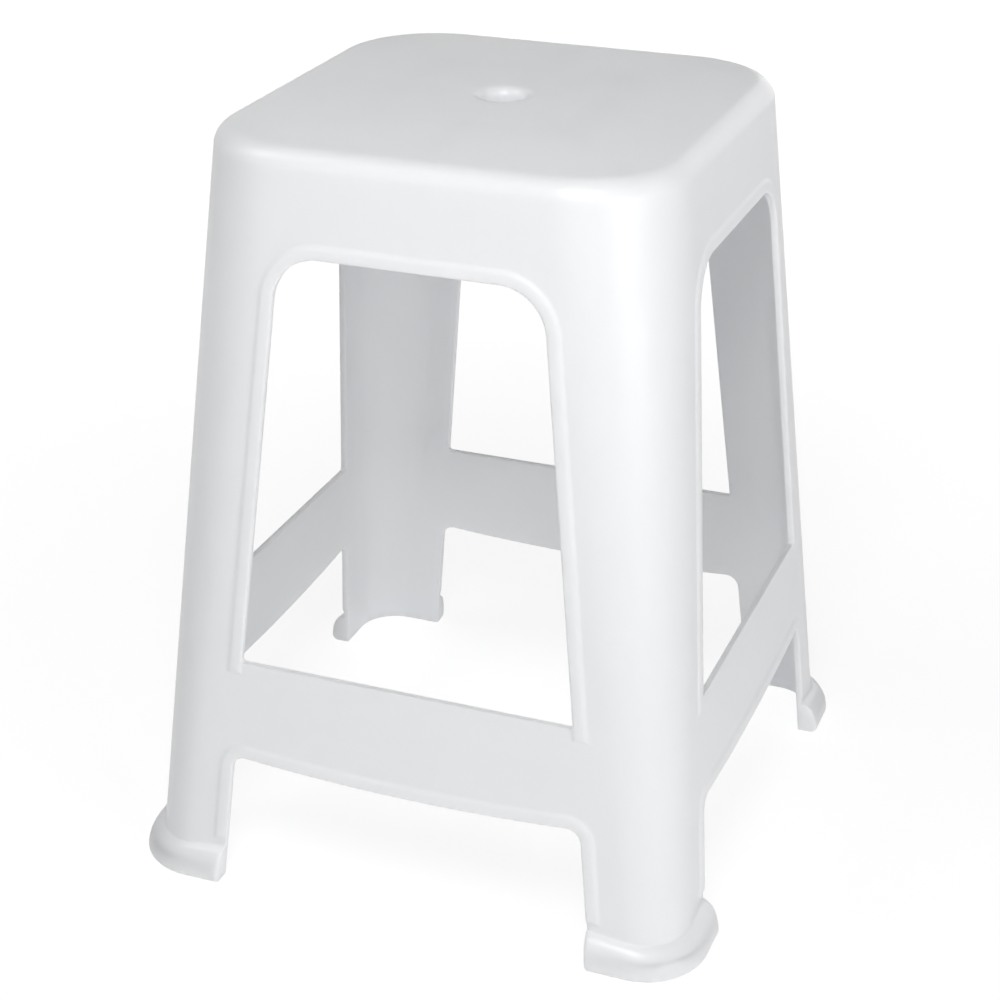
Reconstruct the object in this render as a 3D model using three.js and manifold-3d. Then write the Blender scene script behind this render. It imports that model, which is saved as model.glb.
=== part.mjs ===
// Stacking stool of white polypropylene: a thin moulded skin with a square seat, four splayed corner
// legs, a stretcher low on each side and a flared toe under each leg.
// Millimetres, +Z up. The origin is on the floor under the middle of the seat, the front faces -Y.
import * as THREE from "three";
import { mergeVertices } from "three/addons/utils/BufferGeometryUtils.js";
import Module from "manifold-3d";

// Outside of the skin, without rims and toes: half width of the four flat sides and plan radius of
// the corners, at the floor and at the height of the seat
const seatHeight = 460;
const floorHalfWidth = 174;
const crownHalfWidth = 138.5;
const floorCornerRadius = 30;
const crownCornerRadius = 62;
const wall = 3.5;
const seatEdgeRadius = 11;

// Legs as seen from one side, and the openings between them
const legFloorWidth = 54;
const legCrownWidth = 67;
const skirtDepth = 58.5;
const windowCornerRadius = 28;
const stretcherClearance = 86;
const stretcherSag = 4;
const stretcherWidth = 64;
const archCornerRadius = 9;

// Raised rim round the openings
const rimWidth = 10;
const rimHeight = 1.2;
const rimTail = 7;
const rimFloorGap = 48;

// Flared toes, cored out from the sole between a lip and the leg's own wall
const toeHeight = 25;
const toeBulge = 10;
const toeBellyHeight = 4;
const toeSoleInset = 2;
const toeCoreInner = 0.8;
const toeLipWidth = 3.6;
const toeCoreDepth = 11;
const toeEndWall = 3;

// Finger hole in the middle of the seat, where the skin turns down into a short collar
const holeRadius = 13;
const holeTurnRadius = 6;
const collarWall = 2.6;
const collarLength = 9;

// Ribs under the seat
const radialRibs = 8;
const ribThickness = 2.2;
const ribRootDepth = 12;
const ribTipDepth = 5;
const ribSideGap = 14;
const ringRibHalfWidth = 62;
const ringRibDepth = 7;

// Gussets in the leg corners, which rest on the seat of the stool below in a stack
const gussetThickness = 3;
const gussetDepth = 62;
const gussetReach = 30;
const gussetToeReach = 7;

// Seams between neighbouring pieces, the room that curved faces keep, and the overrun of cuts
const seamInset = 1.5;
const seatClearance = 0.3;
const overrun = 20;

// Facets
const cornerSteps = 12;
const edgeSteps = 5;
const toeSteps = 7;
const filletSteps = 8;
const roundSteps = 40;

const windowTop = seatHeight - skirtDepth;
const stretcherTop = stretcherClearance + stretcherWidth;
const windowMiddle = (stretcherTop + windowTop) / 2;
const seatSeam = seatHeight - seatEdgeRadius;
const seatUnderside = seatHeight - wall;
const collarTop = seatHeight - holeTurnRadius;
const far = floorHalfWidth + toeBulge + overrun;

const wasm = await Module();
wasm.setup();

const polypropylene = new THREE.MeshStandardMaterial({
  color: 0xf1f2f3,
  roughness: 0.38,
  metalness: 0,
});

// Widths and radii that run evenly from the floor to the seat

function between(atFloor, atCrown, z) {
  return THREE.MathUtils.lerp(atFloor, atCrown, z / seatHeight);
}

function sideHalfWidth(z) {
  return between(floorHalfWidth, crownHalfWidth, z);
}

function cornerRadius(z) {
  return between(floorCornerRadius, crownCornerRadius, z);
}

function openingHalfWidth(z) {
  return sideHalfWidth(z) - between(legFloorWidth, legCrownWidth, z);
}

// Solids from three.js geometry, and meshes from solids

function solidOf(geometry) {
  const bare = geometry.clone();
  bare.deleteAttribute("normal");
  bare.deleteAttribute("uv");
  const merged = mergeVertices(bare);
  return new wasm.Manifold(
    new wasm.Mesh({
      numProp: 3,
      vertProperties: new Float32Array(merged.attributes.position.array),
      triVerts: new Uint32Array(merged.index.array),
    }),
  );
}

function meshOf(name, solid) {
  const { vertProperties, triVerts } = solid.getMesh();
  const geometry = new THREE.BufferGeometry();
  geometry.setAttribute("position", new THREE.BufferAttribute(vertProperties, 3));
  geometry.setIndex(new THREE.BufferAttribute(triVerts, 1));
  geometry.computeVertexNormals();
  const mesh = new THREE.Mesh(geometry, polypropylene);
  mesh.name = name;
  return mesh;
}

function block(lowX, highX, lowY, highY, lowZ, highZ) {
  const box = new THREE.BoxGeometry(highX - lowX, highY - lowY, highZ - lowZ);
  return solidOf(box.translate((lowX + highX) / 2, (lowY + highY) / 2, (lowZ + highZ) / 2));
}

// Revolved about the upright axis from [radius, z] points, from the lowest round to the highest
function revolved(profile) {
  const points = profile.map(([radius, z]) => new THREE.Vector2(radius, z));
  return solidOf(new THREE.LatheGeometry(points, roundSteps).rotateX(Math.PI / 2));
}

// Upright plate centred on a vertical plane through the axis, from [along, z] points
function uprightPlate(points, thickness, turn) {
  const shape = new THREE.Shape(points.map(([along, z]) => new THREE.Vector2(along, z)));
  const plate = new THREE.ExtrudeGeometry(shape, { depth: thickness, bevelEnabled: false });
  plate.rotateX(Math.PI / 2).translate(0, thickness / 2, 0);
  return solidOf(plate.rotateZ(turn));
}

// One level of the skin: a square with rounded corners, moved outwards by grow
function squareRing(z, grow) {
  const radius = Math.max(cornerRadius(z) + grow, seatClearance);
  const centre = sideHalfWidth(z) + grow - radius;
  const ring = [];
  for (let quarter = 0; quarter < 4; quarter++) {
    const turn = (quarter * Math.PI) / 2;
    const middle = new THREE.Vector2(centre, centre).rotateAround(new THREE.Vector2(), turn);
    for (let step = 0; step <= cornerSteps; step++) {
      const angle = turn + ((step / cornerSteps) * Math.PI) / 2;
      ring.push([middle.x + radius * Math.cos(angle), middle.y + radius * Math.sin(angle), z]);
    }
  }
  return ring;
}

// Closed solid through level rings, from the lowest to the highest
function loft(rings) {
  const count = rings[0].length;
  const top = (rings.length - 1) * count;
  const index = [];
  for (let low = 0; low < top; low += count) {
    for (let i = 0; i < count; i++) {
      const next = (i + 1) % count;
      index.push(low + i, low + next, low + count + next);
      index.push(low + i, low + count + next, low + count + i);
    }
  }
  for (let i = 1; i < count - 1; i++) {
    index.push(0, i + 1, i);
    index.push(top, top + i, top + i + 1);
  }
  const geometry = new THREE.BufferGeometry();
  geometry.setAttribute("position", new THREE.Float32BufferAttribute(rings.flat(2), 3));
  geometry.setIndex(index);
  return solidOf(geometry);
}

// The splayed body with its rounded seat edge, drawn in by inset all over
function body(inset, lowest) {
  const edge = Math.max(seatEdgeRadius - inset, seatClearance);
  const edgeCentre = seatHeight - inset - edge;
  const rings = [squareRing(lowest, -inset)];
  for (let step = 0; step <= edgeSteps; step++) {
    const angle = ((step / edgeSteps) * Math.PI) / 2;
    const z = edgeCentre + edge * Math.sin(angle);
    rings.push(squareRing(z, -inset - edge * (1 - Math.cos(angle))));
  }
  return loft(rings);
}

// Outline through corners given as [across, z, radius], anticlockwise and convex
function roundedOutline(corners) {
  const shape = new THREE.Shape();
  corners.forEach(([across, z, radius], i) => {
    const at = new THREE.Vector2(across, z);
    const last = corners[(i + corners.length - 1) % corners.length];
    const next = corners[(i + 1) % corners.length];
    const back = new THREE.Vector2(last[0], last[1]).sub(at).normalize();
    const ahead = new THREE.Vector2(next[0], next[1]).sub(at).normalize();
    const halfAngle = Math.acos(back.dot(ahead)) / 2;
    const centre = back.clone().add(ahead).setLength(radius / Math.sin(halfAngle)).add(at);
    const start = Math.atan2(back.x, -back.y);
    const end = start + Math.PI - 2 * halfAngle;
    if (radius > 0) shape.absarc(centre.x, centre.y, radius, start, end, false);
    else if (i === 0) shape.moveTo(across, z);
    else shape.lineTo(across, z);
  });
  return shape;
}

// Prisms of one outline, right across the stool from front to rear and from right to left
function acrossBothWays(outline) {
  const options = { depth: 2 * far, bevelEnabled: false, curveSegments: filletSteps };
  const prism = new THREE.ExtrudeGeometry(outline, options);
  prism.rotateX(Math.PI / 2).translate(0, far, 0);
  return solidOf(prism).add(solidOf(prism.clone().rotateZ(Math.PI / 2)));
}

// Opening between the legs on all four sides, widened by grow
function opening(bottom, top, radius, grow) {
  const low = openingHalfWidth(bottom) + grow;
  const high = openingHalfWidth(top) + grow;
  const round = Math.min(radius, high, top - bottom);
  const outline = roundedOutline([
    [-low, bottom, 0],
    [low, bottom, 0],
    [high, top, round],
    [-high, top, round],
  ]);
  return acrossBothWays(outline);
}

// Space under the stretchers, whose lower edges hang a little lower in the middle
function arches(bottom, grow) {
  const top = stretcherClearance + grow;
  const half = openingHalfWidth(stretcherClearance) - archCornerRadius;
  const dip = new THREE.Shape();
  dip.moveTo(-half, top);
  dip.quadraticCurveTo(0, top - 2 * stretcherSag, half, top);
  dip.lineTo(half, top + overrun);
  dip.lineTo(-half, top + overrun);
  return opening(bottom, top, archCornerRadius + grow, grow).subtract(acrossBothWays(dip));
}

// Flared band round the foot of the body, from which the openings leave the four toes
function toeBand() {
  const rings = [squareRing(0, toeBulge - toeSoleInset)];
  for (let step = 0; step <= toeSteps; step++) {
    const share = step / toeSteps;
    const z = THREE.MathUtils.lerp(toeBellyHeight, toeHeight, share);
    rings.push(squareRing(z, toeBulge * Math.cos((share * Math.PI) / 2)));
  }
  return loft(rings);
}

// Slot that cores the toes out from the sole and stops short of the openings
function toeCore() {
  const outer = toeBulge - toeLipWidth;
  const deep = overrun + overrun;
  return loft([squareRing(-overrun, outer), squareRing(toeCoreDepth, outer)])
    .subtract(loft([squareRing(-deep, toeCoreInner), squareRing(deep, toeCoreInner)]))
    .subtract(opening(-deep, deep, 0, toeEndWall));
}

// Where the rims stand on the skin: beside and above the windows, and round the arches
function rimBands() {
  const tail = stretcherTop - rimTail;
  const above = windowTop + rimWidth;
  return opening(tail, above, windowCornerRadius + rimWidth, rimWidth)
    .subtract(opening(tail - overrun, stretcherTop, 0, 0))
    .add(arches(rimFloorGap, rimWidth));
}

// The whole moulded skin with its rims, openings and toes
function mouldedSkin() {
  return body(0, 0)
    .add(body(-rimHeight, 0).intersect(rimBands()))
    .add(toeBand())
    .subtract(body(wall, -overrun))
    .subtract(opening(stretcherTop, windowTop, windowCornerRadius, 0))
    .subtract(arches(-overrun, 0))
    .subtract(toeCore());
}

// Quarter turn of the skin from the collar out to the seat, on its upper or its under side
function turnDown(radius) {
  const points = [];
  for (let step = 0; step <= filletSteps; step++) {
    const angle = Math.PI - ((step / filletSteps) * Math.PI) / 2;
    const out = holeRadius + holeTurnRadius + radius * Math.cos(angle);
    points.push([out, collarTop + radius * Math.sin(angle)]);
  }
  return points;
}

function turnedDownSkin() {
  const underside = turnDown(holeTurnRadius - collarWall);
  return revolved([[0, collarTop], ...underside, [0, seatHeight - collarWall]]);
}

function fingerHole() {
  return revolved([
    [0, collarTop - overrun],
    [holeRadius, collarTop - overrun],
    ...turnDown(holeTurnRadius),
    [holeRadius + holeTurnRadius, seatHeight + overrun],
    [0, seatHeight + overrun],
  ]);
}

function holeCollar() {
  const low = collarTop - collarLength;
  const outer = holeRadius + collarWall;
  return revolved([
    [holeRadius, low],
    [outer, low],
    [outer, collarTop],
    [holeRadius, collarTop],
    [holeRadius, low],
  ]);
}

// Radial ribs joined by a square ring, flat against the underside of the seat
function underSeatRibs() {
  const tip = sideHalfWidth(seatHeight) - seatEdgeRadius - ribSideGap;
  const outline = [
    [0, seatUnderside - ribRootDepth],
    [tip, seatUnderside - ribTipDepth],
    [tip, seatUnderside],
    [0, seatUnderside],
  ];
  const outer = ringRibHalfWidth;
  const inner = ringRibHalfWidth - ribThickness;
  const low = seatUnderside - ringRibDepth;
  let ribs = block(-outer, outer, -outer, outer, low, seatUnderside).subtract(
    block(-inner, inner, -inner, inner, low - overrun, seatHeight),
  );
  for (let i = 0; i < radialRibs; i++) {
    ribs = ribs.add(uprightPlate(outline, ribThickness, (i / radialRibs) * 2 * Math.PI));
  }
  const clear = holeRadius + holeTurnRadius + seatClearance;
  const middle = [
    [0, seatUnderside - ribRootDepth - overrun],
    [clear, seatUnderside - ribRootDepth - overrun],
    [clear, seatHeight],
    [0, seatHeight],
  ];
  return ribs.subtract(revolved(middle));
}

// Gusset across the leg corner between +X and -Y, just clear of the skin around it
function stackingGusset() {
  const cornerReach = (z) =>
    (sideHalfWidth(z) - cornerRadius(z)) * Math.SQRT2 + cornerRadius(z) - wall;
  const low = seatUnderside - gussetDepth;
  const outside = cornerReach(low) + overrun;
  const outline = [
    [cornerReach(low) - gussetToeReach, low],
    [outside, low],
    [outside, seatHeight],
    [cornerReach(seatUnderside) - gussetReach, seatHeight],
  ];
  const plate = uprightPlate(outline, gussetThickness, -Math.PI / 4);
  return plate.intersect(body(wall + seatClearance, 0));
}

// The skin is parted along flat seams into the seat, and per side a skirt, a stretcher, a leg, a toe
const skin = mouldedSkin();
const skirtSeam = openingHalfWidth(windowTop) - windowCornerRadius - seamInset;
const stretcherSeam =
  Math.min(
    openingHalfWidth(stretcherTop),
    openingHalfWidth(stretcherClearance) - archCornerRadius,
  ) - seamInset;

const seatPanel = skin
  .intersect(block(-far, far, -far, far, seatSeam, seatHeight + overrun))
  .add(turnedDownSkin())
  .subtract(fingerHole());
const skirtFront = block(-skirtSeam, skirtSeam, -far, 0, windowMiddle, seatSeam);
const skirtRight = block(0, far, -skirtSeam, skirtSeam, windowMiddle, seatSeam);
const stretcherSeamTop = stretcherTop + seamInset;
const stretcherFront = block(-stretcherSeam, stretcherSeam, -far, 0, 0, stretcherSeamTop);
const stretcherRight = block(0, far, -stretcherSeam, stretcherSeam, 0, stretcherSeamTop);
const skirt = skin.intersect(skirtFront);
const stretcher = skin.intersect(stretcherFront);
const leg = skin
  .intersect(block(0, far, -far, 0, toeHeight, seatSeam))
  .subtract(skirtFront)
  .subtract(skirtRight)
  .subtract(stretcherFront)
  .subtract(stretcherRight);
const toe = skin.intersect(block(0, far, -far, 0, 0, toeHeight));
const gusset = stackingGusset();

const stool = new THREE.Group();
stool.add(meshOf("seat_panel", seatPanel));
stool.add(meshOf("finger_hole_collar", holeCollar()));
stool.add(meshOf("under_seat_ribs", underSeatRibs()));

const quarters = [
  ["front", "front_right"],
  ["right", "rear_right"],
  ["rear", "rear_left"],
  ["left", "front_left"],
];
quarters.forEach(([side, corner], turns) => {
  const quarter = new THREE.Group();
  quarter.rotation.z = (turns * Math.PI) / 2;
  quarter.add(meshOf(`skirt_${side}`, skirt));
  quarter.add(meshOf(`stretcher_${side}`, stretcher));
  quarter.add(meshOf(`leg_${corner}`, leg));
  quarter.add(meshOf(`toe_${corner}`, toe));
  quarter.add(meshOf(`stacking_gusset_${corner}`, gusset));
  stool.add(quarter);
});

export default stool;
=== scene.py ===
import math
import bmesh
import bpy
import numpy as np
from mathutils import Matrix, Vector
from mathutils.geometry import delaunay_2d_cdt


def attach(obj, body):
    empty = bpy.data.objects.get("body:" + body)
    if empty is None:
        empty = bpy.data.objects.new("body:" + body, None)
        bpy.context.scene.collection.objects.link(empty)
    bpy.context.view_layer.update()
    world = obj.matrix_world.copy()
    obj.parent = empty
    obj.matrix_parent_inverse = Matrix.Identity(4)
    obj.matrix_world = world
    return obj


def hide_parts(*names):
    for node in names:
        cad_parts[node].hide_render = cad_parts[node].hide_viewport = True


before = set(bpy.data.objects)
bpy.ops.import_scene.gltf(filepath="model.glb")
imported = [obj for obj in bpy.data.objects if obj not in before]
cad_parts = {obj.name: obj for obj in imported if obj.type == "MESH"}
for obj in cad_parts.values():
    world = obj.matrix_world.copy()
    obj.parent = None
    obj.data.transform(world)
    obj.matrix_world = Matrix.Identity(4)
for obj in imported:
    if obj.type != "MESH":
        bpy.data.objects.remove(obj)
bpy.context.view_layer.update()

# The stool is drawn in millimetres, in the frame of the model, and scaled when it becomes a mesh
MM = 0.001

# Outside of the skin. A pair holds the size at the floor and the size at the seat
SEAT = 460.0
HALF = (174.0, 138.5)
CORNER = (30.0, 62.0)
LEG = (54.0, 67.0)
WALL = 3.5
SEAT_EDGE = 11.0
CROWN = 2.4

# Openings of a side: the window above the stretcher and the arch under it
WINDOW_TOP = 401.5
WINDOW_CORNER = 28.0
WINDOW_FOOT_CORNER = 1.6
STRETCHER_TOP = 150.0
ARCH_TOP = 86.0
ARCH_CORNER = 9.0
ARCH_SAG = 4.0

# Raised rims: width from the opening to the middle of the shoulder, height, width of the shoulder,
# and the heights at which the window's rim and the arch's rim end
RIM_WIDTH = 7.8
RIM_HEIGHT = 1.2
RIM_STEP = 3.4
RIM_TAIL = 143.0
RIM_FOOT = 27.0

# Rounding of the wall's edges, on the outside and on the inside
EDGE_OUT = 1.1
EDGE_IN = 0.8

# Flared toes: an end is at the side of the leg, the corner is the middle of the leg. The reaches
# are shares of the way from the one to the other
TOE_END_TOP = 21.5
TOE_CORNER_TOP = 18.0
TOE_TOP_REACH = 0.85
TOE_END_SHAPE = 0.5
TOE_CORNER_SHAPE = 0.62
TOE_SHAPE_REACH = 0.5
TOE_BULGE = 9.8
TOE_BELLY = 3.6
TOE_END_ROUND = 2.2
TOE_END_ROUND_BULGE = 6.0
TOE_LIP = 4.0
TOE_CORE_DEPTH = 11.0
TOE_CORE_GAP = 0.8
TOE_CORE_START = 3.1

# Finger hole, where the seat turns down into a collar
HOLE_RADIUS = 13.0
HOLE_TURN = 6.0
HOLE_SURROUND = 3.0
COLLAR_WALL = 2.6
COLLAR_DEPTH = 15.0
COLLAR_TURN = 5.0

# Small radii on the edges of the ribs and gussets
MOULD_RADIUS = 0.6

# Rows of the mesh. Edge, wide and foot columns are distances from an opening, foot rows are
# heights, the rows above the toe are rise and bulge, those of the toe are shares of the way down to
# its belly, and those of the sole are height and inset. Tail rows and columns lie round the end of
# the window's rim, stretcher rows below the stretcher's top, and lip steps are shares of the wall
EDGE_ROWS = [0.0, 0.08, 0.25, 0.5, 0.8, 1.1]
WIDE_ROWS = [2.2, 4.2, 5.9, 6.5, 7.15, 7.8, 8.45, 9.1, 9.7, 11.5]
FOOT_COLUMNS = EDGE_ROWS + [1.6, 2.2, 3.0, 3.2] + WIDE_ROWS[1:]
FOOT_ROWS = (52.0, 48.5, 45.0, 41.5, 38.0, 35.0, 32.0, 30.0, 29.0, 28.3, 27.6, 27.0, 26.4, 25.7, 25.0)
FOOT_TOP = FOOT_ROWS[0]
ABOVE_TOE_ROWS = ((1.6, 0.0), (0.9, 0.04), (0.3, 0.16))
TOE_ROWS = (0.02, 0.06, 0.12, 0.19, 0.27, 0.36, 0.45, 0.54, 0.63, 0.72, 0.81, 0.9, 1.0)
SOLE_ROWS = ((2.9, 0.1), (2.2, 0.35), (1.6, 0.65), (1.0, 1.1), (0.5, 1.55), (0.15, 2.0), (0.0, 2.5))
TAIL_ROWS = (2.1, 1.4, 0.7, 0.0, -0.7, -1.4, -2.1)
TAIL_COLUMNS = [-1.2, -0.9, -0.5, -0.1, 0.3, 0.7]
TAIL_APPROACH = [4.0, 0.6, -0.6, -4.0]
STRETCHER_ROWS = (1.4, 2.2, 5.0)
LIP_STEPS = (0.0, 0.22, 0.24, 0.62, 0.64, 1.0)
SEAT_RINGS = (0.015, 0.04, 0.08, 0.14, 0.22, 0.32, 0.42, 0.52, 0.63, 0.74, 0.86, 1.0)
UNDERSIDE_RINGS = (0.08, 0.3, 0.6, 1.0)
COLLAR_LIP = ((0.0, 0.8), (0.25, 0.2), (0.8, 0.0))

# Counts of the mesh's rows and columns
CORNER_COLUMNS = 12
SEAT_FLAT_COLUMNS = 12
SEAT_CORNER_COLUMNS = 14
DIAGONAL_ROWS = 52
MIDDLE_ROWS = 10
GRID_STEP = 6.0
GRID_FLAT_COLUMNS = 22
GRID_CORNER_COLUMNS = 12
STRETCHER_COLUMNS = 12
TAIL_SIDE_ROWS = 7
ROUND_STEPS = 12
COLLAR_TURN_STEPS = 7

# Room that the plain grid keeps from the rows along the openings and round the rim's end
GRID_CLEAR = 1.5
TAIL_CLEAR_HEIGHT = 8.0
TAIL_CLEAR_INSIDE = 4.0
TAIL_CLEAR_OUTSIDE = 2.0

# Points nearer than this to one another or to an outline are taken as one
MERGE_SKIN = 0.004
MERGE_NODE = 0.001
ON_OUTLINE = 0.001
FAR = 99.0


def at(pair, z):
    """Size at height z, between the one at the floor and the one at the seat."""
    return pair[0] + (pair[1] - pair[0]) * z / SEAT


def flat_half(z):
    """Half the width of a side's flat part."""
    return at(HALF, z) - at(CORNER, z)


def last_u(z):
    """u of the middle of the corner, where the eighth of the skin ends."""
    return flat_half(z) + at(CORNER, z) * math.pi / 4


def open_half(z):
    """Half the width of an opening."""
    return at(HALF, z) - at(LEG, z)


SIDE_SLOPE = open_half(0.0) - open_half(1.0)
SIDE_NORMAL = np.array([1.0, SIDE_SLOPE]) / math.hypot(1.0, SIDE_SLOPE)
LEAN = math.atan(SIDE_SLOPE)


def beside(z, d):
    """u at height z and distance d from the straight side of the openings."""
    return open_half(z) + d / SIDE_NORMAL[0]


def skin(u, z, off):
    """Points on the eighth of the skin right of the front's middle: u runs along the surface from
    the middle of the side, and off is the distance outwards from the surface."""
    u, z, off = np.broadcast_arrays(np.asarray(u, float), z, off)
    f = flat_half(z)
    r = at(CORNER, z)
    turn = np.clip((u - f) / r, 0.0, None)
    x = np.minimum(u, f) + (r + off) * np.sin(turn)
    y = -(f + (r + off) * np.cos(turn))
    return np.stack([x, y, z], -1)


def smooth(t):
    """Smooth step from 0 to 1."""
    t = np.clip(t, 0.0, 1.0)
    return t * t * (3 - 2 * t)


def rounding(d, radius):
    """How far a rounded edge has dropped at distance d from the end of the surface."""
    near = np.clip(radius - d, 0.0, radius)
    return radius - np.sqrt(np.maximum(radius**2 - near**2, 0.0))


# Outlines of the openings, as points and outward normals in the plane of u and z


def corner_centre(z, radius):
    """Centre, at height z, of an arc that touches the straight side of the openings."""
    return open_half(z) - radius / math.cos(LEAN), z


WINDOW_CENTRE = corner_centre(WINDOW_TOP - WINDOW_CORNER, WINDOW_CORNER)
WINDOW_FOOT_CENTRE = corner_centre(STRETCHER_TOP + WINDOW_FOOT_CORNER, WINDOW_FOOT_CORNER)
ARCH_CENTRE = corner_centre(ARCH_TOP - ARCH_CORNER, ARCH_CORNER)


def fillet(centre, radius, start, end, steps):
    """Points and outward normals of an arc, angles in radians."""
    angles = np.linspace(start, end, steps + 1)
    normals = np.stack([np.cos(angles), np.sin(angles)], 1)
    return np.asarray(centre) + radius * normals, normals


def window_line():
    """Right half of a window's outline from the top middle to the bottom middle."""
    across, down = 9, 34
    arc, arc_n = fillet(WINDOW_CENTRE, WINDOW_CORNER, math.pi / 2, LEAN, steps=14)
    low, low_n = fillet(WINDOW_FOOT_CENTRE, WINDOW_FOOT_CORNER, LEAN, -math.pi / 2, steps=7)
    top = np.stack([np.linspace(0, arc[0, 0], across, endpoint=False),
                    np.full(across, WINDOW_TOP)], 1)
    side = np.linspace(arc[-1], low[0], down + 1, endpoint=False)[1:]
    bottom = np.stack([np.linspace(low[-1, 0], 0, across + 1)[1:],
                       np.full(across, STRETCHER_TOP)], 1)
    top_n = np.tile([0.0, 1.0], (across, 1))
    side_n = np.tile(SIDE_NORMAL, (down, 1))
    return (np.concatenate([top, arc, side, low, bottom]),
            np.concatenate([top_n, arc_n, side_n, low_n, -top_n]))


def arch_line(low_z):
    """Right half of an arch's outline from the top middle down its side to low_z."""
    across, down = 18, 4
    arc, arc_n = fillet(ARCH_CENTRE, ARCH_CORNER, math.pi / 2, LEAN, steps=9)
    end = arc[0, 0]
    us = np.linspace(0, end, across, endpoint=False)
    sag = ARCH_SAG * (1 - (us / end) ** 2)
    tilt = 2 * ARCH_SAG * us / end**2
    top = np.stack([us, ARCH_TOP - sag], 1)
    top_n = np.stack([-tilt, np.ones(across)], 1)
    top_n /= np.linalg.norm(top_n, axis=1)[:, None]
    side = np.linspace(arc[-1], (open_half(low_z), low_z), down + 1)[1:]
    side_n = np.tile(SIDE_NORMAL, (down, 1))
    return np.concatenate([top, arc, side]), np.concatenate([top_n, arc_n, side_n])


window_points, window_normals = window_line()
arch_points, arch_normals = arch_line(FOOT_TOP)


def side_distance(u, z):
    """Distance from the straight side of the openings, positive on the leg."""
    return (u - open_half(z)) * SIDE_NORMAL[0]


def opening_distance(u, z, centre, radius, from_top):
    """Distance from an opening's top, corner or side, whichever lies opposite."""
    du, dz = u - centre[0], z - centre[1]
    angle = np.arctan2(dz, du)
    d = np.where(angle > math.pi / 2, from_top, np.hypot(du, dz) - radius)
    return np.where(angle < LEAN, side_distance(u, z), d)


def window_distance(u, z):
    """Distance from the window, whose side is carried on below the stretcher's top for its rim."""
    return opening_distance(u, z, WINDOW_CENTRE, WINDOW_CORNER, z - WINDOW_TOP)


def arch_distance(u, z):
    """Distance from the arch."""
    sag = ARCH_SAG * np.clip(1 - (u / ARCH_CENTRE[0]) ** 2, 0, 1)
    return opening_distance(u, z, ARCH_CENTRE, ARCH_CORNER, z - (ARCH_TOP - sag))


def edge_distance(u, z):
    """Exact distance from the outlines of both openings."""
    d = np.full(np.shape(u), FAR)
    for outline in (window_points, arch_points):
        a, b = outline[:-1], outline[1:]
        ab = b - a
        p = np.stack([np.ravel(u), np.ravel(z)], 1)
        t = ((p[:, None] - a) * ab).sum(2) / (ab**2).sum(1)
        near = a + np.clip(t, 0, 1)[:, :, None] * ab
        here = np.sqrt(((p[:, None] - near) ** 2).sum(2)).min(1)
        d = np.minimum(d, here.reshape(np.shape(u)))
    return d


def rim(u, z):
    """Height of the raised rims."""
    upper = np.minimum(RIM_WIDTH - window_distance(u, z), z - RIM_TAIL)
    upper = np.where(z < STRETCHER_TOP, np.minimum(upper, side_distance(u, z)), upper)
    lower = np.minimum(RIM_WIDTH - arch_distance(u, z), z - RIM_FOOT)
    return RIM_HEIGHT * smooth(np.maximum(upper, lower) / RIM_STEP + 0.5)


# Upper part of the eighth, from FOOT_TOP to the seat's edge: lines and points in the plane of u
# and z, joined into triangles


def foot_columns(z):
    """u of the foot's columns at heights z, from the side of the leg to the corner's middle."""
    z = np.asarray(z, float)
    near = [beside(z, d) for d in FOOT_COLUMNS]
    f = flat_half(z)
    flat = [near[-1] + (f - near[-1]) * t for t in (0.5, 1.0)]
    arc = [f + (last_u(z) - f) * (i + 1) / CORNER_COLUMNS for i in range(CORNER_COLUMNS)]
    return np.stack(near + flat + arc, -1)


edge_z = SEAT - SEAT_EDGE
top_flat = np.linspace(0, flat_half(edge_z), SEAT_FLAT_COLUMNS)
top_arc = (flat_half(edge_z) + (last_u(edge_z) - flat_half(edge_z))
           * np.arange(1, SEAT_CORNER_COLUMNS + 1) / SEAT_CORNER_COLUMNS)

points, edges = [], []


def chain(line):
    """Adds a line of points that the triangles have to keep."""
    first = len(points)
    points.extend([tuple(p) for p in line])
    edges.extend([(i, i + 1) for i in range(first, len(points) - 1)])


# the border of the eighth
chain([(u, FOOT_TOP) for u in foot_columns(FOOT_TOP)])
chain([(last_u(z), z) for z in np.linspace(FOOT_TOP, edge_z, DIAGONAL_ROWS)])
chain([(u, edge_z) for u in np.concatenate([top_flat, top_arc])])
chain([(0.0, z) for z in np.linspace(edge_z, WINDOW_TOP, MIDDLE_ROWS)])
chain([(0.0, z) for z in np.linspace(STRETCHER_TOP, ARCH_TOP - ARCH_SAG, MIDDLE_ROWS)])

# rows along the window, the wide ones only down to the end of its rim
for d in EDGE_ROWS:
    chain(window_points + d * window_normals)
for d in WIDE_ROWS:
    keep = window_normals[:, 1] >= SIDE_NORMAL[1] - 1e-6
    line = (window_points + d * window_normals)[keep]
    tail_z = RIM_TAIL + np.array(TAIL_APPROACH)
    chain(np.concatenate([line, np.stack([beside(tail_z, d), tail_z], 1)]))

# rows across the end of the window's rim and beside it, and along the stretcher's top
for rise in TAIL_ROWS:
    z = RIM_TAIL + rise
    chain([(u, z) for u in beside(z, np.array(TAIL_COLUMNS + WIDE_ROWS))])
tail_side = np.linspace(RIM_TAIL + TAIL_ROWS[-1], STRETCHER_TOP - STRETCHER_ROWS[0], TAIL_SIDE_ROWS)
for d in TAIL_COLUMNS[1:]:
    chain([(beside(z, d), z) for z in tail_side])
for d in STRETCHER_ROWS[1:]:
    us = np.linspace(0, open_half(STRETCHER_TOP) - 2.5, STRETCHER_COLUMNS)
    chain([(u, STRETCHER_TOP - d) for u in us])

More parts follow.
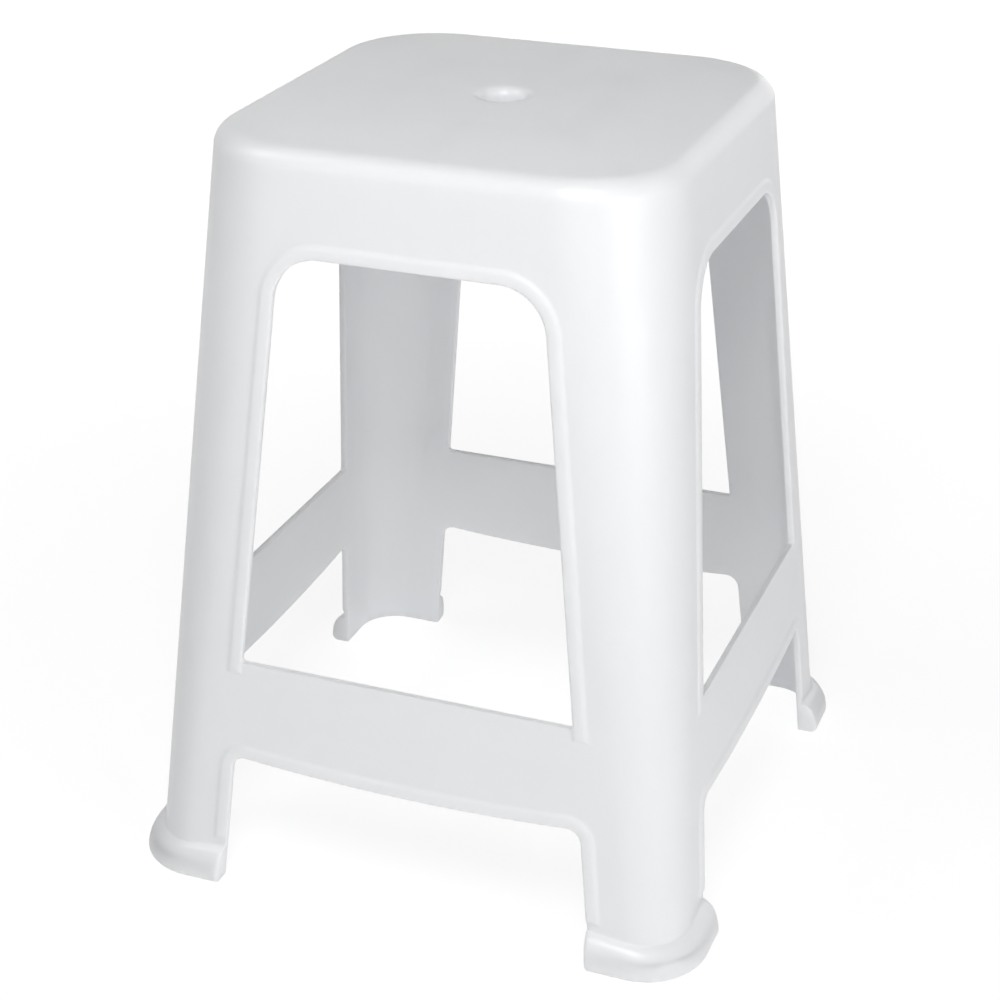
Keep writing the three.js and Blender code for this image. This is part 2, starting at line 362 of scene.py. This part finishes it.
# rows along the arch, which end exactly on the foot's top row
for d in EDGE_ROWS + WIDE_ROWS:
    line = arch_points + d * arch_normals
    line[-1] = (beside(FOOT_TOP, d), FOOT_TOP)
    line[0, 0] = 0.0
    chain(line)

# a plain grid on the rest
grid = []
for z in np.arange(FOOT_TOP + 4.5, edge_z - 3, GRID_STEP):
    f, end = flat_half(z), last_u(z)
    flat = np.linspace(0, f, GRID_FLAT_COLUMNS)
    arc = f + (end - f) * np.arange(1, GRID_CORNER_COLUMNS) / GRID_CORNER_COLUMNS
    grid.extend([(u, z) for u in np.concatenate([flat, arc])])
grid_u, grid_z = np.array(grid).T
clear = edge_distance(grid_u, grid_z) > WIDE_ROWS[-1] + GRID_CLEAR
stretcher_end = open_half(STRETCHER_TOP)
clear &= ~((np.abs(grid_z - RIM_TAIL) < TAIL_CLEAR_HEIGHT)
           & (grid_u > stretcher_end - TAIL_CLEAR_INSIDE)
           & (grid_u < stretcher_end + WIDE_ROWS[-1] + TAIL_CLEAR_OUTSIDE))
clear &= ~((window_distance(grid_u, grid_z) < 0) & (grid_z > STRETCHER_TOP))
clear &= ~((arch_distance(grid_u, grid_z) < 0) & (grid_z < ARCH_TOP))
points.extend(zip(grid_u[clear], grid_z[clear]))

result = delaunay_2d_cdt([Vector(p) for p in points], edges, [], 1, 1e-4)
upper_u, upper_z = np.array([tuple(v) for v in result[0]]).T
upper_faces = [list(face) for face in result[2]]


class Patch:
    """Collects points and faces of one eighth of the skin."""

    def __init__(self):
        self.points = []
        self.faces = []

    def add_points(self, xyz):
        """Index of the first of the new points."""
        first = sum(len(p) for p in self.points)
        self.points.append(np.asarray(xyz, float).reshape(-1, 3))
        return first

    def add_grid(self, xyz, flip=False):
        """Quads over a grid of points."""
        rows, columns = xyz.shape[:2]
        first = self.add_points(xyz)
        for i in range(rows - 1):
            for j in range(columns - 1):
                a = first + i * columns + j
                quad = [a, a + 1, a + columns + 1, a + columns]
                self.faces.append(quad[::-1] if flip else quad)


eighth = Patch()
near = edge_distance(upper_u, upper_z)
near = np.where(near < ON_OUTLINE, 0.0, near)
first = eighth.add_points(skin(upper_u, upper_z, rim(upper_u, upper_z) - rounding(near, EDGE_OUT)))
eighth.faces.extend([[first + i for i in face] for face in upper_faces])
first = eighth.add_points(skin(upper_u, upper_z, -WALL + rounding(near, EDGE_IN)))
eighth.faces.extend([[first + i for i in face][::-1] for face in upper_faces])


def across_wall(u, z, outer, inner):
    """Strip across the wall, from the outer skin's end to the inner one's."""
    return np.stack([skin(u, z, outer + (inner - outer) * t) for t in LIP_STEPS], 0)


for line in (window_points, arch_points):
    u, z = line[:, 0], line[:, 1]
    eighth.add_grid(across_wall(u, z, rim(u, z) - EDGE_OUT, -WALL + EDGE_IN))

# The foot: rows from FOOT_TOP down to the sole, columns from the leg's side to the corner's middle
columns = foot_columns(FOOT_TOP)
column_count = len(columns)
column_share = (columns - open_half(FOOT_TOP)) / (last_u(FOOT_TOP) - open_half(FOOT_TOP))
toe_top = TOE_END_TOP + (TOE_CORNER_TOP - TOE_END_TOP) * smooth(column_share / TOE_TOP_REACH)
toe_shape = (TOE_END_SHAPE
             + (TOE_CORNER_SHAPE - TOE_END_SHAPE) * smooth(column_share / TOE_SHAPE_REACH))
row_z, row_toe = [], []


def foot_row(z, bulge):
    """Adds a row of the foot: its heights, and how far the toe stands out of the leg there."""
    row_z.append(np.full(column_count, z))
    row_toe.append(np.full(column_count, bulge))


for z in FOOT_ROWS:
    foot_row(z, 0.0)
foot_row(FOOT_ROWS[-1] + (toe_top + ABOVE_TOE_ROWS[0][0] - FOOT_ROWS[-1]) * 0.5, 0.0)
for rise, bulge in ABOVE_TOE_ROWS:
    foot_row(toe_top + rise, bulge)
for t in TOE_ROWS:
    foot_row(toe_top + (TOE_BELLY - toe_top) * t, TOE_BULGE * np.sin(t**toe_shape * math.pi / 2))
for z, inset in SOLE_ROWS:
    foot_row(z, TOE_BULGE - inset)
foot_z = np.array(row_z)
foot_toe = np.array(row_toe)
foot_u = np.stack([foot_columns(foot_z[:, j])[:, j] for j in range(column_count)], 1)
column_d = np.array(FOOT_COLUMNS + [FAR] * (column_count - len(FOOT_COLUMNS)))
round_out = EDGE_OUT + (TOE_END_ROUND - EDGE_OUT) * smooth(foot_toe / TOE_END_ROUND_BULGE)
foot_out = rim(foot_u, foot_z) + foot_toe - rounding(column_d, round_out)
foot_in = -WALL + rounding(np.broadcast_to(column_d, foot_z.shape), EDGE_IN)
eighth.add_grid(skin(foot_u, foot_z, foot_out), flip=True)
eighth.add_grid(skin(foot_u, foot_z, foot_in))
eighth.add_grid(across_wall(foot_u[:, 0], foot_z[:, 0], foot_out[:, 0], foot_in[:, 0]))

# The sole: flat at the side of the leg, elsewhere with the slot of the toe's core in it, between
# the toe's lip and the leg's wall
cored = column_d > TOE_CORE_START
lip = TOE_BULGE - TOE_LIP
slot = ((foot_out[-1], 0.0), (lip, 0.0), (lip, TOE_CORE_DEPTH), (TOE_CORE_GAP, TOE_CORE_DEPTH),
        (TOE_CORE_GAP, 0.0), (foot_in[-1], 0.0))
sole = across_wall(foot_u[-1], 0.0, foot_out[-1], foot_in[-1])
for row, (off, height) in zip(sole, slot):
    row[cored] = skin(foot_u[-1], 0.0, off)[cored]
    row[cored, 2] = height
eighth.add_grid(sole, flip=True)

# Rounded edge of the seat, outside and inside
flat_share = top_flat / top_flat[-1]
arc_share = (top_arc - top_flat[-1]) / (top_arc[-1] - top_flat[-1])


def edge_ring(radius, start_off, angle):
    """Row of the rounded edge at an angle, which is 0 at the side and a right angle at the top."""
    z = edge_z + radius * math.sin(angle)
    f = flat_half(z)
    us = np.concatenate([flat_share * f, f + arc_share * (last_u(z) - f)])
    return skin(us, z, start_off - radius * (1 - math.cos(angle)))


angles = np.radians(np.linspace(0, 90, ROUND_STEPS + 1))
outer_edge = np.stack([edge_ring(SEAT_EDGE, 0.0, a) for a in angles], 0)
inner_edge = np.stack([edge_ring(SEAT_EDGE - WALL, -WALL, a) for a in angles], 0)
eighth.add_grid(outer_edge)
eighth.add_grid(inner_edge, flip=True)

QUARTER_TURNS = ((1, 0), (0, 1), (-1, 0), (0, -1))


def turned(xyz, turn):
    """Points turned about the stool's axis; turn is a cosine and a sine."""
    c, s = turn
    return np.stack([c * xyz[:, 0] - s * xyz[:, 1], s * xyz[:, 0] + c * xyz[:, 1], xyz[:, 2]], 1)


def eight_copies(xyz, faces):
    """Four turns of the eighth and of its mirror image."""
    all_points, all_faces, first = [], [], 0
    for turn in QUARTER_TURNS:
        for mirror in (1, -1):
            all_points.append(turned(xyz * [mirror, 1, 1], turn))
            for face in faces:
                ids = [i + first for i in face]
                all_faces.append(ids if mirror == 1 else ids[::-1])
            first += len(xyz)
    return np.concatenate(all_points), all_faces


shell_points, shell_faces = eight_copies(np.concatenate(eighth.points), eighth.faces)

# Seat, collar and underside: rings from the rounded edge in to the finger hole and out again


def full_ring(ring):
    """The whole ring from its eighth, anticlockwise from the front's middle."""
    other = np.stack([-ring[::-1, 1], -ring[::-1, 0], ring[::-1, 2]], 1)
    quarter = np.concatenate([ring[:-1], other[:-1]])
    return np.concatenate([turned(quarter, turn) for turn in QUARTER_TURNS])


def closed_rows(rows):
    """Faces between successive closed rings."""
    n = len(rows[0])
    faces = []
    for k in range(len(rows) - 1):
        for i in range(n):
            j = (i + 1) % n
            faces.append([k * n + i, k * n + j, (k + 1) * n + j, (k + 1) * n + i])
    return np.concatenate(rows), faces


outer_ring = full_ring(outer_edge[-1])
inner_ring = full_ring(inner_edge[-1])
direction = outer_ring * [1, 1, 0]
direction /= np.linalg.norm(direction, axis=1)[:, None]


def round_ring(radius, z):
    """Ring about the hole."""
    return direction * radius + [0, 0, z]


turn_radius = HOLE_RADIUS + HOLE_TURN
first_round = round_ring(turn_radius + HOLE_SURROUND, SEAT)
inward = 1 - (turn_radius + HOLE_SURROUND) / at(HALF, SEAT)


def crown(t):
    """Rise of the seat at share t of the way from its edge to the hole's surround."""
    return CROWN * (1 - (1 - inward * t) ** 2)


rows = [outer_ring]
for t in SEAT_RINGS:
    rows.append(outer_ring + (first_round - outer_ring) * t + [0, 0, crown(t)])
for a in angles:
    rows.append(round_ring(turn_radius - HOLE_TURN * math.sin(a),
                           SEAT + crown(1.0) - HOLE_TURN * (1 - math.cos(a))))
bottom = SEAT - COLLAR_DEPTH
collar_outside = HOLE_RADIUS + COLLAR_WALL
for inset, rise in COLLAR_LIP:
    rows.append(round_ring(HOLE_RADIUS + inset, bottom + rise))
for inset, rise in COLLAR_LIP[::-1]:
    rows.append(round_ring(collar_outside - inset, bottom + rise))
for a in np.radians(np.linspace(90, 0, COLLAR_TURN_STEPS + 1)):
    rows.append(round_ring(collar_outside + COLLAR_TURN * (1 - math.sin(a)),
                           SEAT - WALL - COLLAR_TURN * (1 - math.cos(a))))
last_round = rows[-1]
for t in UNDERSIDE_RINGS:
    rows.append(last_round + (inner_ring - last_round) * t)
top_points, top_faces = closed_rows(rows)


def smooth_faces(mesh, sharp_angle):
    """Smooth shading, but for edges sharper than an angle in degrees."""
    for polygon in mesh.polygons:
        polygon.use_smooth = True
    mesh.set_sharp_from_angle(angle=math.radians(sharp_angle))


mesh = bpy.data.meshes.new("moulded_skin")
mesh.from_pydata((np.concatenate([shell_points, top_points]) * MM).tolist(), [],
                 shell_faces + [[i + len(shell_points) for i in face] for face in top_faces])
bm = bmesh.new()
bm.from_mesh(mesh)
bmesh.ops.remove_doubles(bm, verts=bm.verts, dist=MERGE_SKIN * MM)
bmesh.ops.recalc_face_normals(bm, faces=bm.faces)
bm.to_mesh(mesh)
bm.free()
smooth_faces(mesh, 60)
shell = bpy.data.objects.new("moulded_skin", mesh)
bpy.context.scene.collection.objects.link(shell)
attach(shell, "root")
sides = ("front", "right", "rear", "left")
corners = ("front_right", "rear_right", "rear_left", "front_left")
stood_for = ["seat_panel", "finger_hole_collar"]
stood_for += [f"skirt_{s}" for s in sides] + [f"stretcher_{s}" for s in sides]
stood_for += [f"leg_{c}" for c in corners] + [f"toe_{c}" for c in corners]
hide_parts(*stood_for)


def soften(node_name, piece_name):
    """Copy of a node with the small radii that a moulding has on its edges."""
    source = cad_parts[node_name]
    bm = bmesh.new()
    bm.from_mesh(source.data)
    bm.transform(source.matrix_world)
    bmesh.ops.remove_doubles(bm, verts=bm.verts, dist=MERGE_NODE * MM)
    bmesh.ops.dissolve_limit(bm, angle_limit=math.radians(1), verts=bm.verts, edges=bm.edges)
    corners_of_solid = [e for e in bm.edges if e.calc_face_angle(0.0) > math.radians(25)]
    bmesh.ops.bevel(bm, geom=corners_of_solid, offset=MOULD_RADIUS * MM, offset_type="OFFSET",
                    segments=2, profile=0.5, affect="EDGES", clamp_overlap=True)
    bmesh.ops.dissolve_degenerate(bm, dist=MERGE_NODE * MM, edges=bm.edges)
    bmesh.ops.triangulate(bm, faces=[f for f in bm.faces if len(f.verts) > 4])
    bmesh.ops.recalc_face_normals(bm, faces=bm.faces)
    piece_mesh = bpy.data.meshes.new(piece_name)
    bm.to_mesh(piece_mesh)
    bm.free()
    smooth_faces(piece_mesh, 50)
    piece = bpy.data.objects.new(piece_name, piece_mesh)
    bpy.context.scene.collection.objects.link(piece)
    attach(piece, "root")
    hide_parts(node_name)
    return piece


moulded = [shell, soften("under_seat_ribs", "seat_ribs")]
moulded += [soften(f"stacking_gusset_{corner}", f"gusset_{corner}") for corner in corners]

# Material: white polypropylene. Its lengths are in metres
CLOUD_COLOURS = ((0.876, 0.890, 0.914, 1), (0.894, 0.905, 0.925, 1))
DUST_COLOUR = (0.70, 0.69, 0.67, 1)
DUST_HEIGHT = 0.006
DUST_SHARE = 0.35
ROUGHNESS = (0.29, 0.335)
SCUFF_ROUGHNESS = 0.1
WORN_ROUGHNESS = 0.05
WAVES = (16.0, 0.00022)
GRAIN = (1400.0, 0.000012)
SCUFF_DEPTH = 0.000012


def plastic(name):
    """Satin white plastic in which light spreads."""
    material = bpy.data.materials.new(name)
    material.use_nodes = True
    tree = material.node_tree
    tree.nodes.clear()
    link = tree.links.new

    def node(kind, **values):
        made = tree.nodes.new(kind)
        for label, value in values.items():
            made.inputs[label.replace("_", " ")].default_value = value
        return made

    def scaled(source, low, high, to_low, to_high):
        made = node("ShaderNodeMapRange", From_Min=low, From_Max=high, To_Min=to_low, To_Max=to_high)
        link(source, made.inputs["Value"])
        return made.outputs["Result"]

    def maths(operation, first, second):
        made = tree.nodes.new("ShaderNodeMath")
        made.operation = operation
        for socket, value in zip(made.inputs, (first, second)):
            if isinstance(value, float):
                socket.default_value = value
            else:
                link(value, socket)
        return made.outputs[0]

    coords = tree.nodes.new("ShaderNodeTexCoord").outputs["Object"]
    geometry = tree.nodes.new("ShaderNodeNewGeometry")

    def noise(scale, detail, vector=coords):
        made = node("ShaderNodeTexNoise", Scale=scale, Detail=detail)
        link(vector, made.inputs["Vector"])
        return made.outputs["Fac"]

    def height_of(vector):
        made = tree.nodes.new("ShaderNodeSeparateXYZ")
        link(vector, made.inputs[0])
        return made.outputs["Z"]

    # colour: faint clouds in the white, and a little dust near the floor
    ramp = tree.nodes.new("ShaderNodeValToRGB")
    for element, place, colour in zip(ramp.color_ramp.elements, (0.3, 0.7), CLOUD_COLOURS):
        element.position = place
        element.color = colour
    link(noise(9.0, 3.0), ramp.inputs["Fac"])
    low_down = scaled(height_of(coords), 0.0, DUST_HEIGHT, DUST_SHARE, 0.0)
    dust = tree.nodes.new("ShaderNodeMix")
    dust.data_type = "RGBA"
    dust.inputs[7].default_value = DUST_COLOUR
    link(maths("MULTIPLY", low_down, scaled(noise(160.0, 4.0), 0.35, 0.65, 0.2, 1.0)), dust.inputs[0])
    link(ramp.outputs["Color"], dust.inputs[6])

    # gloss: uneven, duller on scuffs and worn edges; scuffs are streaks in patches on what faces up
    stretch = node("ShaderNodeMapping", Rotation=(0.0, 0.0, 0.5), Scale=(9.0, 150.0, 9.0))
    link(coords, stretch.inputs["Vector"])
    streaks = scaled(noise(1.6, 6.0, stretch.outputs["Vector"]), 0.56, 0.66, 0.0, 1.0)
    patches = scaled(noise(14.0, 2.0), 0.48, 0.62, 0.0, 1.0)
    upwards = scaled(height_of(geometry.outputs["Normal"]), 0.5, 0.95, 0.0, 1.0)
    scuffs = maths("MULTIPLY", maths("MULTIPLY", streaks, patches), upwards)
    worn_edges = scaled(geometry.outputs["Pointiness"], 0.53, 0.62, 0.0, 1.0)
    clouds = scaled(noise(60.0, 5.0), 0.3, 0.7, *ROUGHNESS)
    rough = maths("ADD", maths("ADD", clouds, maths("MULTIPLY", scuffs, SCUFF_ROUGHNESS)),
                  maths("MULTIPLY", worn_edges, WORN_ROUGHNESS))

    # bump: the slight waves of a large moulding, satin grain, and the scuffs
    bumped = None
    for height, depth in ((noise(WAVES[0], 1.0), WAVES[1]), (noise(GRAIN[0], 2.0), GRAIN[1]),
                          (maths("MULTIPLY", scuffs, -1.0), SCUFF_DEPTH)):
        bump = node("ShaderNodeBump", Strength=1.0, Distance=depth)
        link(height, bump.inputs["Height"])
        if bumped:
            link(bumped, bump.inputs["Normal"])
        bumped = bump.outputs["Normal"]

    shader = node("ShaderNodeBsdfPrincipled", IOR=1.49, Subsurface_Weight=1.0,
                  Subsurface_Radius=(1.0, 1.0, 1.0), Subsurface_Scale=0.006)
    link(dust.outputs[2], shader.inputs["Base Color"])
    link(rough, shader.inputs["Roughness"])
    link(bumped, shader.inputs["Normal"])
    link(shader.outputs["BSDF"], tree.nodes.new("ShaderNodeOutputMaterial").inputs["Surface"])
    return material


skin_plastic = plastic("white_polypropylene")
for piece in moulded:
    piece.data.materials.append(skin_plastic)
# the model's own nodes, which these pieces replace, carry the same plastic
for node_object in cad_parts.values():
    node_object.data.materials.clear()
    node_object.data.materials.append(skin_plastic)

# Camera fitted to the photograph, whose width is 1000 pixels. Angles are in degrees
CAMERA_AZIMUTH = 21.291
CAMERA_ELEVATION = 26.002
CAMERA_ROLL = -0.173
CAMERA_AIM = Vector((-0.00266, 0.0, 0.20078))
CAMERA_DISTANCE = 1.3775
FOCAL_PIXELS = 2186.6
SENSOR_WIDTH = 36.0


def direction_to(azimuth, elevation):
    """Direction from the stool, its azimuth taken from the front towards the right."""
    a, e = math.radians(azimuth), math.radians(elevation)
    return Vector((math.sin(a) * math.cos(e), -math.cos(a) * math.cos(e), math.sin(e)))


back = direction_to(CAMERA_AZIMUTH, CAMERA_ELEVATION)
roll = math.radians(CAMERA_ROLL)
right = (-back).cross(Vector((0, 0, 1))).normalized()
above = right.cross(-back)
cam_right = right * math.cos(roll) + above * math.sin(roll)
cam_up = -right * math.sin(roll) + above * math.cos(roll)
camera_data = bpy.data.cameras.new("camera")
camera_data.sensor_width = SENSOR_WIDTH
camera_data.lens = FOCAL_PIXELS / 1000.0 * SENSOR_WIDTH
camera = bpy.data.objects.new("camera", camera_data)
bpy.context.scene.collection.objects.link(camera)
camera.matrix_world = Matrix.Translation(CAMERA_AIM + back * CAMERA_DISTANCE) @ Matrix(
    (cam_right, cam_up, back)).transposed().to_4x4()
bpy.context.scene.camera = camera

# Studio: a white floor and a white world. A ray that sees them finds them white. As lights the
# floor only throws back the lamps and glows a little, and the world is dark
FLOOR_HALF = 6.0
FLOOR_Z = -0.0002
FLOOR_GREY = 0.8
FLOOR_GLOW = 0.26
SEEN_FLOOR_GREY = 0.25
SEEN_FLOOR_GLOW = (0.85, 1.0)
SEEN_FLOOR_FADE = (0.25, 1.3)


def seen_or_light(tree, output_kind, as_light, as_seen):
    """Gives camera, glossy and transmission rays one shader and all other rays another."""
    path = tree.nodes.new("ShaderNodeLightPath")
    sees = path.outputs["Is Camera Ray"]
    for name in ("Is Glossy Ray", "Is Transmission Ray"):
        either = tree.nodes.new("ShaderNodeMath")
        either.operation = "MAXIMUM"
        tree.links.new(sees, either.inputs[0])
        tree.links.new(path.outputs[name], either.inputs[1])
        sees = either.outputs[0]
    mix = tree.nodes.new("ShaderNodeMixShader")
    tree.links.new(sees, mix.inputs[0])
    tree.links.new(as_light, mix.inputs[1])
    tree.links.new(as_seen, mix.inputs[2])
    tree.links.new(mix.outputs[0], tree.nodes.new(output_kind).inputs["Surface"])


def glowing_grey(tree, grey, strength):
    """Diffuse shader with a glow: its output, and the glow's strength."""
    diffuse = tree.nodes.new("ShaderNodeBsdfDiffuse")
    diffuse.inputs["Color"].default_value = (grey, grey, grey, 1)
    glow = tree.nodes.new("ShaderNodeEmission")
    glow.inputs["Strength"].default_value = strength
    both = tree.nodes.new("ShaderNodeAddShader")
    tree.links.new(diffuse.outputs[0], both.inputs[0])
    tree.links.new(glow.outputs[0], both.inputs[1])
    return both.outputs[0], glow.inputs["Strength"]


floor_mesh = bpy.data.meshes.new("floor")
floor_corners = [(x * FLOOR_HALF, y * FLOOR_HALF, FLOOR_Z) for x, y in ((-1, -1), (1, -1), (1, 1), (-1, 1))]
floor_mesh.from_pydata(floor_corners, [], [(0, 1, 2, 3)])
floor = bpy.data.objects.new("floor", floor_mesh)
bpy.context.scene.collection.objects.link(floor)

floor_material = bpy.data.materials.new("studio_floor")
floor_material.use_nodes = True
tree = floor_material.node_tree
tree.nodes.clear()
light_floor = glowing_grey(tree, FLOOR_GREY, FLOOR_GLOW)[0]
seen_floor, seen_glow = glowing_grey(tree, SEEN_FLOOR_GREY, SEEN_FLOOR_GLOW[0])
# the seen floor grows whiter with the distance from the stool
place = tree.nodes.new("ShaderNodeNewGeometry")
reach = tree.nodes.new("ShaderNodeVectorMath")
reach.operation = "LENGTH"
tree.links.new(place.outputs["Position"], reach.inputs[0])
fade = tree.nodes.new("ShaderNodeMapRange")
for label, value in zip(("From Min", "From Max", "To Min", "To Max"), SEEN_FLOOR_FADE + SEEN_FLOOR_GLOW):
    fade.inputs[label].default_value = value
tree.links.new(reach.outputs["Value"], fade.inputs["Value"])
tree.links.new(fade.outputs[0], seen_glow)
seen_or_light(tree, "ShaderNodeOutputMaterial", light_floor, seen_floor)
floor.data.materials.append(floor_material)

world = bpy.data.worlds.new("studio")
bpy.context.scene.world = world
world.use_nodes = True
tree = world.node_tree
tree.nodes.clear()
backgrounds = []
for strength in (0.0, 1.0):
    background = tree.nodes.new("ShaderNodeBackground")
    background.inputs["Color"].default_value = (1, 1, 1, 1)
    background.inputs["Strength"].default_value = strength
    backgrounds.append(background.outputs[0])
seen_or_light(tree, "ShaderNodeOutputWorld", *backgrounds)

LAMP_AIM = Vector((0, 0, 0.25))


def lamp(name, azimuth, elevation, distance, size, power):
    """Square softbox turned to the stool, in degrees, metres and watts."""
    away = direction_to(azimuth, elevation)
    data = bpy.data.lights.new(name, "AREA")
    data.size = size
    data.energy = power
    softbox = bpy.data.objects.new(name, data)
    bpy.context.scene.collection.objects.link(softbox)
    softbox.location = LAMP_AIM + away * distance
    softbox.rotation_mode = "QUATERNION"
    softbox.rotation_quaternion = (-away).to_track_quat("-Z", "Y")


lamp("key_front_high", 15, 48, 1.4, 0.42, 7.5)
lamp("fill_right_low", 60, 10, 2.2, 1.2, 16.6)
lamp("fill_left_high", -65, 48, 2.2, 0.8, 8.8)
lamp("fill_front", 21, 26, 2.2, 0.8, 4.4)
lamp("top", 0, 89, 2.0, 1.2, 1.0)
lamp("fill_rear", 170, 12, 2.2, 1.2, 5.5)

bpy.context.scene.view_settings.view_transform = "Standard"
